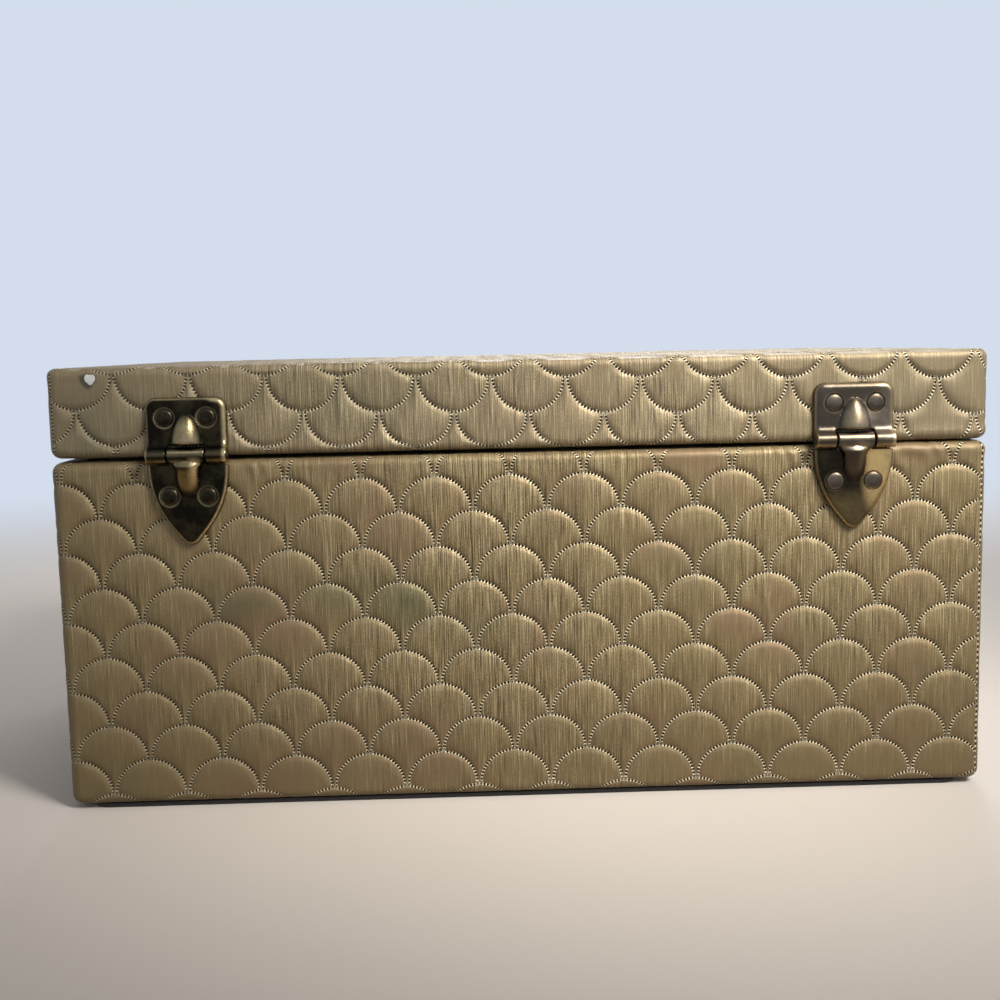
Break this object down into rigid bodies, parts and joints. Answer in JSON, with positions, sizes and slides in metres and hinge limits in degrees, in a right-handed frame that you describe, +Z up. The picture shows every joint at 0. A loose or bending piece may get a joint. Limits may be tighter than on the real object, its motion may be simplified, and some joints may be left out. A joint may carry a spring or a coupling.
{
  "type": "sewing box",
  "caption": "Rectangular sewing box in padded gold vinyl welded into scallops, with stamped brass stop hinges, a sliding front catch and a lift-out tray with pockets.",
  "frame": {"origin": "centre of the underside of the base sheet, where the box stands", "axes": "+X along the hinge side, -Y out of the hinge side, +Y out of the catch side, +Z up"},
  "size_m": [0.363, 0.2551, 0.174],
  "materials": {
    "gold_vinyl": "metallic gold vinyl, satin, with fine upright streaks",
    "antique_brass": "dark antique patina with bright worn edges",
    "steel": "plain drawn steel",
    "board": "raw plywood",
    "base_sheet": "black fibre sheet, matt",
    "lining": "ivory satin on card",
    "tray_plastic": "ivory moulded plastic"
  },
  "bodies": {
    "body": {"body_rear_cover": "gold_vinyl", "body_front_cover": "gold_vinyl", "body_left_cover": "gold_vinyl", "body_right_cover": "gold_vinyl", "body_rear_lining": "lining", "body_front_lining": "lining", "body_left_lining": "lining", "body_right_lining": "lining", "floor_lining": "lining", "body_rear_board": "board", "body_front_board": "board", "body_left_board": "board", "body_right_board": "board", "floor_board": "board", "left_tray_ledge": "board", "right_tray_ledge": "board", "left_hinge_lower_leaf": "antique_brass", "right_hinge_lower_leaf": "antique_brass", "left_hinge_lower_rivet_1": "antique_brass", "left_hinge_lower_rivet_2": "antique_brass", "right_hinge_lower_rivet_1": "antique_brass", "right_hinge_lower_rivet_2": "antique_brass", "catch_case_rivet_1": "antique_brass", "catch_case_rivet_2": "antique_brass", "catch_case": "antique_brass", "left_hinge_pin": "steel", "right_hinge_pin": "steel", "base_sheet": "base_sheet"},
    "lid": {"lid_rear_cover": "gold_vinyl", "lid_front_cover": "gold_vinyl", "lid_left_cover": "gold_vinyl", "lid_right_cover": "gold_vinyl", "lid_top_cover": "gold_vinyl", "lid_rear_lining": "lining", "lid_front_lining": "lining", "lid_left_lining": "lining", "lid_right_lining": "lining", "lid_panel_lining": "lining", "lid_rear_rail": "board", "lid_front_rail": "board", "lid_left_rail": "board", "lid_right_rail": "board", "lid_panel": "board", "left_hinge_upper_leaf": "antique_brass", "right_hinge_upper_leaf": "antique_brass", "left_hinge_upper_rivet_1": "antique_brass", "left_hinge_upper_rivet_2": "antique_brass", "right_hinge_upper_rivet_1": "antique_brass", "right_hinge_upper_rivet_2": "antique_brass", "catch_plate_rivet_1": "antique_brass", "catch_plate_rivet_2": "antique_brass", "catch_plate": "antique_brass", "catch_tongue": "steel"},
    "tray": {"tray": "tray_plastic"},
    "catch_slide": {"catch_slide": "antique_brass"}
  },
  "joints": [
    {"name": "lid_hinge", "type": "hinge", "parent": "body", "child": "lid", "pos_m": [0, -0.1233, 0.14], "axis": [1, 0, 0], "range_deg": [0, 102]},
    {"name": "tray_lift", "type": "slide", "parent": "body", "child": "tray", "axis": [0, 0, 1], "range_m": [0, 0.031]},
    {"name": "catch_travel", "type": "slide", "parent": "body", "child": "catch_slide", "axis": [-1, 0, 0], "range_m": [0, 0.0035]}
  ]
}
